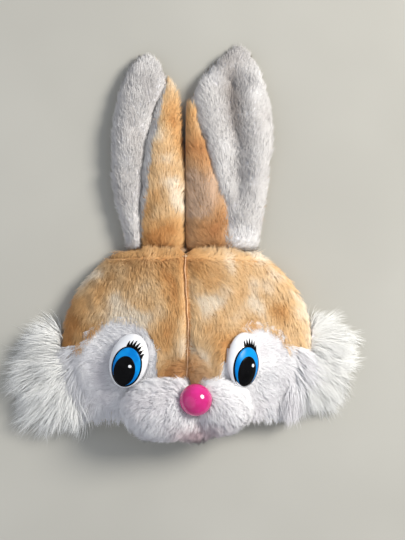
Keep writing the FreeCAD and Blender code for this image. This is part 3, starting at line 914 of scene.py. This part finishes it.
def make_muzzle(rng):
    for name, lobe in LOBES.items():
        surface = lobe_surface(name)
        pad = shape(f"{lobe['piece']}_pad", surface, white_cloth)
        surface = stuff(pad, lambda points: points[:, 2] < 34)
        attach(pad, "cap", "white_plush", *lobe["nodes"])
        roots, normals = surface.scatter(1.5, rng)
        keep = (normals[:, 2] > -0.5) & (from_nose(roots) > NOSE_RADIUS - 2.5)
        keep &= roots[:, 2] > 33
        keep &= ~near_eye(roots, 0.0)
        roots, normals = roots[keep], normals[keep]
        comb = roots - NOSE
        comb[:, 2] = 0
        comb = unit(comb) + np.array([0, -0.55, 0])
        pile = grow(
            f"{lobe['piece']}_pile", roots, normals, comb, white_pile, rng,
            length=9.0 * (1 + 0.25 * noise(roots, 15.0, 6)), width=0.64, lift=0.8, bend=0.8, swirl=0.8,
            swirl_size=13.0, clump=4.5, pull=0.6, curl=0.14,
            tint=0.85 * np.exp(-((roots[:, 0] - 10) / 20) ** 2) * smoothstep(-160, -174, roots[:, 1]))
        attach(pile, "cap", "white_plush")


# ----------------------------------------------------------------- ears ----
def smooth_rows(values, passes=3):
    """Rounds a broken line without moving its ends."""
    for _ in range(passes):
        values = np.concatenate([values[:1], (values[:-2] + 2 * values[1:-1] + values[2:]) / 4, values[-1:]])
    return values


def roll_surface(outline, top, rows=72, columns=56, dip=0.0, dip_at=0.0, floor=EAR_UNDERSIDE, seed=61):
    """A lengthwise roll of an ear, lofted through its two edges and the height of its top at each y."""
    stations = np.array(outline, float)
    y = np.linspace(stations[0, 0], stations[-1, 0], rows)
    share = np.linspace(0, 1, rows)
    left = smooth_rows(np.interp(y, stations[:, 0], stations[:, 1]))
    right = smooth_rows(np.interp(y, stations[:, 0], stations[:, 2]))
    height = smooth_rows(np.interp(y, [row[0] for row in top], [row[1] for row in top]))
    middle, half = (left + right) / 2, (right - left) / 2
    angle = np.linspace(0, 2 * math.pi, columns, endpoint=False)
    x = middle[:, None] + half[:, None] * np.cos(angle)[None]
    half_height = (height / 2)[:, None]
    z = half_height + half_height * np.sin(angle)[None]
    hollow = dip * (smoothstep(0.12, 0.3, share) * (1 - smoothstep(0.78, 0.93, share)))[:, None]
    z -= hollow * np.exp(-((np.cos(angle) - dip_at) / 0.42) ** 2)[None] * np.clip(np.sin(angle), 0, 1)[None]
    points = xyz(x, y[:, None], np.maximum(z, floor))
    waves = 0.9 * noise(points, 17.0, seed) + 0.5 * noise(points, 8.0, seed + 1)
    points[..., 2] += np.clip((points[..., 2] - 3) / 6, 0, 1) * waves
    ends = []
    for row in (points[0], points[-1]):
        centre = row.mean(axis=0)
        ends.append(centre + (row - centre) * 0.02)
    return tube_of(np.concatenate([ends[0][None], points, ends[1][None]]))


EAR_TOP = [
    (-3.4, 14.5), (2, 18.0), (20, 18.5), (45, 20.5), (100, 22.0), (140, 20.0), (165, 15.0), (191, 7.0)]
EARS = {
    "left": {
        "face": [
            (-3.4, -55, -43), (10, -56.5, -44.5), (35, -63.5, -44), (65, -69.5, -43.5),
            (104, -69, -38.5), (130, -66, -31), (146, -63.5, -23.5), (156, -60, -20.5),
            (166, -56, -21.5), (174, -51, -27), (179, -47.5, -33), (183, -44, -38)],
        "fold": [
            (-3.4, -43, -4.6), (10, -44, -4.4), (35, -44, -4.4), (69, -43, -5.2), (97, -39, -7.5),
            (128, -33, -10), (150, -25, -12), (160, -20.5, -15.5)],
        "groove": [
            (0, -44), (35, -44.5), (69, -44), (97, -39.7), (128, -33), (150, -24)],
        "boundary": [
            (0.5, -42), (34.5, -37.5), (69.5, -34.5), (96.9, -30.5), (128, -25.0), (155.5, -19.0)],
        "back": [
            (-3.0, -53, -5), (35, -61, -5), (65, -67, -6.5), (104, -66.5, -9.5), (138, -62.5, -13),
            (156, -57, -18), (174, -49, -29), (180, -45, -38)],
        "dip": (2.0, 0.2), "limits": (-80, -1.6), "brown_and_painted_shade": 0.0, "valley_painted_shade": (-47, 90, 7.0, 0.3),
    },
    "right": {
        "face": [
            (-3.4, 30, 65), (7, 31, 67), (35, 28, 71.5), (58, 23, 75.5), (100, 12, 79),
            (118, 6, 79), (132, 3.4, 77), (146, 6, 74), (160, 15, 71), (170, 23, 68),
            (179, 30, 63.5), (186, 37, 59.5), (192, 45, 54)],
        "groove": [
            (0, 47.5), (39, 36), (61, 28), (89, 19.5), (105, 13.5), (125, 9.5)],
        "boundary": [
            (0.5, 47.5), (16, 44), (39, 36), (61, 28), (89, 19.5), (105, 13.5), (125, 9.5),
            (137, 8)],
        "fold": [
            (-3.4, 1.0, 47), (16, 0.6, 43), (39, 0.4, 35), (61, 0.4, 27), (89, 0.4, 18.5),
            (105, 0.6, 12.5), (125, 1.6, 8.5), (137, 4.0, 7.0)],
        "back": [
            (-3.0, 2, 63), (35, 2, 69), (58, 2, 73), (100, 2.2, 76.5), (125, 4, 75), (146, 8, 71),
            (170, 25, 65), (184, 39, 57), (187, 45, 52)],
        "dip": (11.0, 0.0), "limits": (-1.4, 92), "brown_and_painted_shade": 0.55, "valley_painted_shade": (45, 128, 8.5, 0.75),
    },
}


def make_ear(side, rng):
    ear = EARS[side]
    body = f"ear_{side}"
    hinge = EAR_HINGE[side]
    start, end = (hinge[0], -4, hinge[2]), (hinge[0], 22, hinge[2])
    dip, dip_at = ear["dip"]
    face = roll_surface(ear["face"], EAR_TOP, dip=dip, dip_at=dip_at, seed=61 if side == "left" else 71)
    fold_top = [(y, height + 2.0) for y, height in EAR_TOP[:-3]] + [(130, 17), (158, 9)]
    fold = roll_surface(ear["fold"], fold_top, seed=81)
    back = roll_surface(ear["back"], [(-3, 7), (60, 6.5), (150, 6), (190, 4)], floor=UNDERSIDE, seed=91)
    pieces = []
    for name, surface, material, slot_name, nodes in (
            ("face", face, white_cloth, "white_plush", (f"ear_{side}_front", f"ear_{side}_wadding")),
            ("fold", fold, tan_cloth, "tan_plush", ()),
            ("back", back, tan_cloth, "tan_plush", (f"ear_{side}_back",))):
        cloth = shape(f"ear_{side}_{name}_pad", surface, material)
        if name != "back":
            surface = stuff(
                cloth, lambda points: (points[:, 1] < 1) | (points[:, 2] < EAR_UNDERSIDE + 1.5),
                slack=0.02, limit=1.8, lowest=EAR_UNDERSIDE)
        pieces.append((cloth, slot_name, nodes))
        roots, normals = surface.scatter(1.5 if name != "back" else 1.0, rng)
        keep = normals[:, 2] > (-0.45 if name != "back" else -2)
        if name == "back":
            keep &= normals[:, 2] < 0.35
        roots, normals = roots[keep], normals[keep]
        groove = np.exp(-((roots[:, 0] - np.interp(roots[:, 1], *np.array(ear["groove"]).T)) / 4) ** 2)
        x = roots[:, 0]
        middle = (surface.points[:, 0].min() + surface.points[:, 0].max()) / 2
        comb = xyz((x - middle) * 0.018, 1, 0)
        comb[:, 1] -= 0.6 * (1 - smoothstep(0, 16, roots[:, 1]))
        boundary = np.interp(roots[:, 1], *np.array(ear["boundary"]).T) + 0.8 * noise(roots, 7.0, 9)
        beyond = (roots[:, 0] < boundary) == (side == "left")
        # The right ear's tan is browner and darker towards its base: partly its own colour, partly painted
        # shade.
        brown_and_painted_shade = ear["brown_and_painted_shade"] * smoothstep(140, 70, roots[:, 1])
        # Painted shade: the white pile is tinted grey-brown down the valley of each ear, where shade falls.
        valley_x, valley_y, valley_half, depth = ear["valley_painted_shade"]
        across_valley = (x - valley_x - 0.12 * (valley_y - roots[:, 1])) / valley_half
        along_valley = (roots[:, 1] - valley_y) / 46
        valley_painted_shade = depth * np.exp(-across_valley ** 2 - along_valley ** 2)
        white = np.full(len(roots), name == "face") | (beyond & (name == "fold"))
        for cloth_name, pile_material_, chosen in (
                ("white_plush", ear_pile, white), ("tan_plush", tan_pile, ~white)):
            if not chosen.any():
                continue
            length = 7.5 if cloth_name == "white_plush" else 8.5
            length = length * (1 + 0.2 * noise(roots[chosen], 15.0, 7)) * (1 - 0.45 * groove[chosen])
            pile = grow(
                f"ear_{side}_{name}_{cloth_name}_pile", roots[chosen], normals[chosen], comb[chosen],
                pile_material_, rng, length=length, width=0.64,
                lift=0.6 + 0.5 * np.abs(normals[chosen][:, 0]), bend=0.7, swirl=0.45, swirl_size=18.0,
                clump=4.5, pull=0.3, curl=0.07, lock=0.1, limit_x=ear["limits"],
                tint=(valley_painted_shade if cloth_name == "white_plush" else brown_and_painted_shade)[chosen])
            pieces.append((pile, cloth_name, ()))
    for obj, slot_name, nodes in pieces:
        attach_across(obj, body, start, end, slot_name, *nodes)


# --------------------------------------------------------------- cheeks ----
TUFT_TURN = math.radians(10)
TUFTS = {
    "left": {
        "sign": -1, "middle": (117.0, -121.0, 1.0), "radii": (29.0, 38.0, 15.0),
        "comb": (0.05, -0.38, 0.0), "length": 1.0},
    "right": {
        "sign": 1, "middle": (115.0, -109.0, 1.0), "radii": (28.0, 38.0, 15.0),
        "comb": (0.2, -0.05, 0.0), "length": 0.82},
}
TUFT_HELD = np.array([106.0, -112.0, 18.0])      # sewn edge, which stays with the cap
TUFT_FREE = np.array([134.0, -117.0, 18.0])
FAN_CENTRE = np.array([70.0, -92.0, 30.0])


def tuft_surface(tuft):
    """A low mound outside the side seam, with its inner side leaning on the cap."""
    sign = tuft["sign"]
    points = ball(30, 72, 0.01, math.pi / 2) * np.array(tuft["radii"])
    rim = points[-1:]
    points = np.concatenate([points, rim * 0.6, rim * 0.01])
    turn = -sign * TUFT_TURN
    x = points[..., 0] * math.cos(turn) - points[..., 1] * math.sin(turn)
    y = points[..., 0] * math.sin(turn) + points[..., 1] * math.cos(turn)
    out = xyz(x, y, points[..., 2]) + np.array(tuft["middle"]) * np.array([sign, 1, 1])
    out += 1.5 * noise(out, 22.0, 33)[..., None] * np.array([0.5, 0.5, 1]) * (out[..., 2:] > 1.3)
    above = np.clip(out[..., 2] - SEAM_Z, 0, CAP_RISE - 1)
    share = np.sqrt(np.maximum(1 - ((out[..., 1] - CAP_Y) / (CAP_HALF_LENGTH + 1)) ** 2, 0.02))
    side = (CAP_HALF_WIDTH + 1) * np.sqrt(np.maximum(share ** 2 - (above / (CAP_RISE + 1)) ** 2, 0.3))
    out[..., 0] = np.where(sign * out[..., 0] < side, sign * side, out[..., 0])
    out[..., 2] = np.maximum(out[..., 2], 0.9)
    return tube_of(out)


def make_tuft(side, rng):
    tuft = TUFTS[side]
    mirror = np.array([tuft["sign"], 1, 1])
    surface = tuft_surface(tuft)
    pad = shape(f"cheek_{side}_pad", surface, white_cloth)
    roots, normals = surface.scatter(1.5, rng)
    keep = normals[:, 2] > -0.2
    keep &= ~((np.abs(roots[:, 0]) < 112) & (normals[:, 2] < 0.35) & (roots[:, 2] < 14))
    roots, normals = roots[keep], normals[keep]
    fan = roots - FAN_CENTRE * mirror
    comb = unit(fan) + np.array(tuft["comb"]) * mirror
    far = np.clip(np.linalg.norm(fan, axis=1) / 80, 0.3, 1)
    inner = 1 - smoothstep(112, 128, np.abs(roots[:, 0]))
    pile = grow(
        f"cheek_{side}_fur", roots, normals, comb, tuft_pile, rng,
        length=tuft["length"] * (17 + 17 * far) * (1 + 0.25 * noise(roots, 12.0, 8)),
        width=0.55, lift=0.95 + 0.65 * inner, rings=4, bend=0.95, swirl=0.75, swirl_size=18.0,
        clump=8.0, pull=0.6, curl=0.08, droop=0.3, limit_x=(-179, 179), lock=0.25)
    body = f"cheek_{side}"
    start, end = TUFT_HELD * mirror, TUFT_FREE * mirror
    attach_across(pad, body, start, end, "knit_backing", f"cheek_tuft_{side}", f"cheek_backing_{side}")
    attach_across(pile, body, start, end, "long_fur")


# ----------------------------------------------------------- eyes, nose ----
def disc(centre, half_width, half_length, turn, lift, rings=14, columns=64, hole=0.0):
    """Points of a printed oval on the eye's dome, in the eye's own axes."""
    radius = np.linspace(max(hole, 0.001), 1, rings)[:, None]
    angle = np.linspace(0, 2 * math.pi, columns, endpoint=False)[None]
    x0 = half_width * radius * np.cos(angle)
    y0 = half_length * radius * np.sin(angle)
    turn = math.radians(turn)
    x = centre[0] + x0 * math.cos(turn) - y0 * math.sin(turn)
    y = centre[1] + x0 * math.sin(turn) + y0 * math.cos(turn)
    return xyz(x, y, eye_dome(x, y) + lift)


def eye_dome(x, y):
    inside = 1 - (x / EYE_HALF_WIDTH) ** 2 - (y / EYE_HALF_LENGTH) ** 2
    return EYE_DEPTH * np.sqrt(np.maximum(inside, 0))


def add_shank(body, shrink, depth):
    """Closes a moulded body at its last ring with a thin shank, which ends `depth` below its origin."""
    shank = body[-1:] * np.append(shrink, 1)
    tip = shank.copy()
    tip[..., 2] = -depth
    return np.concatenate([body, shank, tip, tip * np.array([0.03, 0.03, 1])])


def to_frame(local, eye):
    return local @ eye_turn(eye).T + np.array(eye["centre"])


# Printed ovals: centre, half width, half length, turn in degrees, in the eye's own axes.
PRINTS = {
    "left": {
        "iris": ((0.2, -5.6), 14.2, 19.0, 0), "pupil": ((-0.8, -10.0), 10.2, 13.9, -1),
        "glint": ((3.6, -4.8), 1.6, 1.4, 0), "lash_roots": (-2.6, 11.0),
        "lash_tips": (
            (-2.4, 18.6), (0.8, 19.8), (4.2, 20.3), (7.6, 18.9), (10.4, 16.8), (12.6, 13.4), (13.6, 10.2)),
    },
    "right": {
        "iris": ((-0.6, -6.4), 14.2, 19.0, 2), "pupil": ((-0.2, -10.9), 9.9, 13.9, 2),
        "glint": ((4.6, -4.8), 1.5, 1.6, 0), "lash_roots": (-4.6, 6.6),
        "lash_tips": ((-6.0, 17.6), (-3.0, 19.2), (0.2, 20.4), (3.4, 20.2), (6.2, 18.6), (8.4, 15.4)),
    },
}


def make_eye(side):
    eye = EYES[side]
    prints = PRINTS[side]
    half_sizes = np.array([EYE_HALF_WIDTH, EYE_HALF_LENGTH])
    dome = ball(28, 96, 0.01, math.pi / 2) * np.append(half_sizes, EYE_DEPTH)
    rim = dome[-1:].copy()
    rim[..., 2] = -0.8
    back = rim * np.array([0.97, 0.97, 1])
    back[..., 2] = -1.2
    body = add_shank(np.concatenate([dome, rim, back]), SHANK_RADIUS / half_sizes, EYE_SHANK)
    white = shape(f"eye_{side}_white", tube_of(to_frame(body, eye)), eye_plastic)
    attach(white, "cap", "eye_plastic", f"eye_{side}")

    centre, half_width, half_length, turn = prints["iris"]
    layers = [
        ("ring", black_ink, disc(*prints["iris"], 0.10)),
        ("iris", iris_ink, disc(centre, half_width - RING_WIDTH, half_length - RING_WIDTH, turn, 0.17)),
        ("pupil", black_ink, disc(*prints["pupil"], 0.24)),
        ("glint", eye_plastic, disc(*prints["glint"], 0.31, rings=6, columns=24)),
    ]
    for name, material, points in layers:
        layer = cloth_object(f"eye_{side}_{name}", tube_of(to_frame(points, eye)), material, PRINT_THICKNESS)
        attach(layer, "cap", "eye_plastic")

    blades = []
    iris_centre, iris_width, iris_length, _ = prints["iris"]
    root_places = np.linspace(*prints["lash_roots"], len(prints["lash_tips"]))
    for root_x, tip in zip(root_places, prints["lash_tips"]):
        rise = iris_length * math.sqrt(1 - ((root_x - iris_centre[0]) / iris_width) ** 2)
        root = np.array([root_x, iris_centre[1] + rise - 1.2])
        direction = unit(np.array(tip) - root)
        side_way = np.array([-direction[1], direction[0]])
        blade = []
        for share in np.linspace(0, 1, LASH_ROWS):
            middle = root + (np.array(tip) - root) * share + side_way * 0.35 * math.sin(share * math.pi)
            half = LASH_HALF_WIDTH * (1 - share) ** 0.8 + 0.05
            for edge in (-1, 0, 1):
                place = middle + side_way * half * edge
                blade.append([place[0], place[1], eye_dome(place[0], place[1]) + 0.13])
        blades.append(np.array(blade).reshape(LASH_ROWS, 3, 3))
    lash_surfaces = [sheet_of(to_frame(blade, eye), flip=True) for blade in blades]
    points = np.concatenate([surface.points for surface in lash_surfaces])
    quads = np.concatenate([
        surface.quads + index * LASH_ROWS * 3 for index, surface in enumerate(lash_surfaces)])
    lashes = build(f"eye_{side}_lashes", points, quads, material=black_ink)
    attach(lashes, "cap", "eye_plastic")


def make_nose():
    body = ball(40, 72, 0.01, NOSE_WRAP) * np.array([NOSE_RADIUS, NOSE_RADIUS, NOSE_DEPTH])
    ring_radius = NOSE_RADIUS * math.sin(NOSE_WRAP)
    shrink = SHANK_RADIUS / np.array([ring_radius, ring_radius])
    surface = tube_of(add_shank(body, shrink, NOSE_SHANK) + NOSE)
    attach(shape("nose_ball", surface, nose_plastic), "cap", "nose_plastic", "nose")


def make_seam():
    """The centre seam: a thin raised edge, thicker and thinner with each stitch."""
    rows = [row for row in cap_rows(BACKING_DEPTH, 1.1) if -132 < row[0]][:-3]
    y = np.array([row[0] for row in rows])
    x = seam_x(y) + 0.25 * np.sin(y / 3.1)
    height = np.array([cap_section(place, inset, np.array([0.0]))[0, 2] for place, inset in rows]) + 1.5
    angle = np.linspace(0, 2 * math.pi, 10, endpoint=False)
    radius = 0.4 + 0.1 * np.sin(y * 2.2)
    x, y, height, radius = (values[:, None] for values in (x, y, height, radius))
    rings = xyz(x + radius * np.cos(angle), y, height + 3.0 * radius * np.sin(angle))
    attach(shape("centre_seam", tube_of(rings), thread), "cap", "tan_plush")


# --------------------------------------------------------------- camera ----
LIT_PLACE = Vector((0, -0.03, 0.02))       # in metres, as is all of the studio


def add_area(name, location, size, power, colour):
    light = bpy.data.lights.new(name, "AREA")
    light.shape = "DISK"
    light.size = size
    light.energy = power
    light.color = colour
    obj = bpy.data.objects.new(name, light)
    obj.location = location
    obj.rotation_mode = "QUATERNION"
    obj.rotation_quaternion = (LIT_PLACE - Vector(location)).to_track_quat("-Z", "Y")
    bpy.context.scene.collection.objects.link(obj)


def make_studio():
    bpy.ops.mesh.primitive_plane_add(size=60, location=(0, 0, 0))
    floor = bpy.context.object
    floor.name = "floor"
    material, tree, shader = new_material("floor_paper")
    place = object_place(tree)
    colour = ramp_node(tree, noise_node(tree, place, 300.0), two_tone((170, 169, 162), (178, 177, 170)))
    tree.links.new(colour, shader.inputs["Base Color"])
    set_inputs(shader, Roughness=0.9)
    floor.data.materials.append(material)
    world = bpy.data.worlds.new("studio")
    bpy.context.scene.world = world
    world.use_nodes = True
    set_inputs(world.node_tree.nodes["Background"], Color=srgb(236, 240, 248), Strength=0.55)
    add_area("window", (1.30, 0.50, 1.35), 0.8, 44, srgb(255, 250, 242)[:3])
    add_area("fill", (-0.9, -0.5, 1.1), 2.2, 4, srgb(244, 247, 255)[:3])
    bpy.context.scene.view_settings.view_transform = "Standard"


def make_camera():
    data = bpy.data.cameras.new("camera")
    camera = bpy.data.objects.new("camera", data)
    bpy.context.scene.collection.objects.link(camera)
    bpy.context.scene.camera = camera
    data.sensor_width = 36
    distance, elevation = 1.9, math.radians(86)
    target = Vector((0.0146, -0.0232, 0.02))
    field_high = 0.5103              # height of the view at the target
    data.lens = data.sensor_width * distance / field_high
    back = Vector((0, -math.cos(elevation), math.sin(elevation)))
    camera.location = target + back * distance
    camera.rotation_mode = "QUATERNION"
    camera.rotation_quaternion = (-back).to_track_quat("-Z", "Y")
    data.clip_start, data.clip_end = 0.01, 20


# ----------------------------------------------------------------- make ----
rng = np.random.default_rng(20)
make_studio()
make_camera()
make_cap(rng)
make_back(rng)
make_inside()
make_muzzle(rng)
for ear_side in EARS:
    make_ear(ear_side, rng)
for tuft_side in TUFTS:
    make_tuft(tuft_side, rng)
for eye_side in EYES:
    make_eye(eye_side)
make_nose()
make_seam()
for node_name, material in (
        ("front_foam", foam_material), ("eye_left_washer", washer_plastic),
        ("eye_right_washer", washer_plastic), ("nose_washer", washer_plastic)):
    node_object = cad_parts[node_name]
    node_object.data.materials.clear()
    node_object.data.materials.append(material)
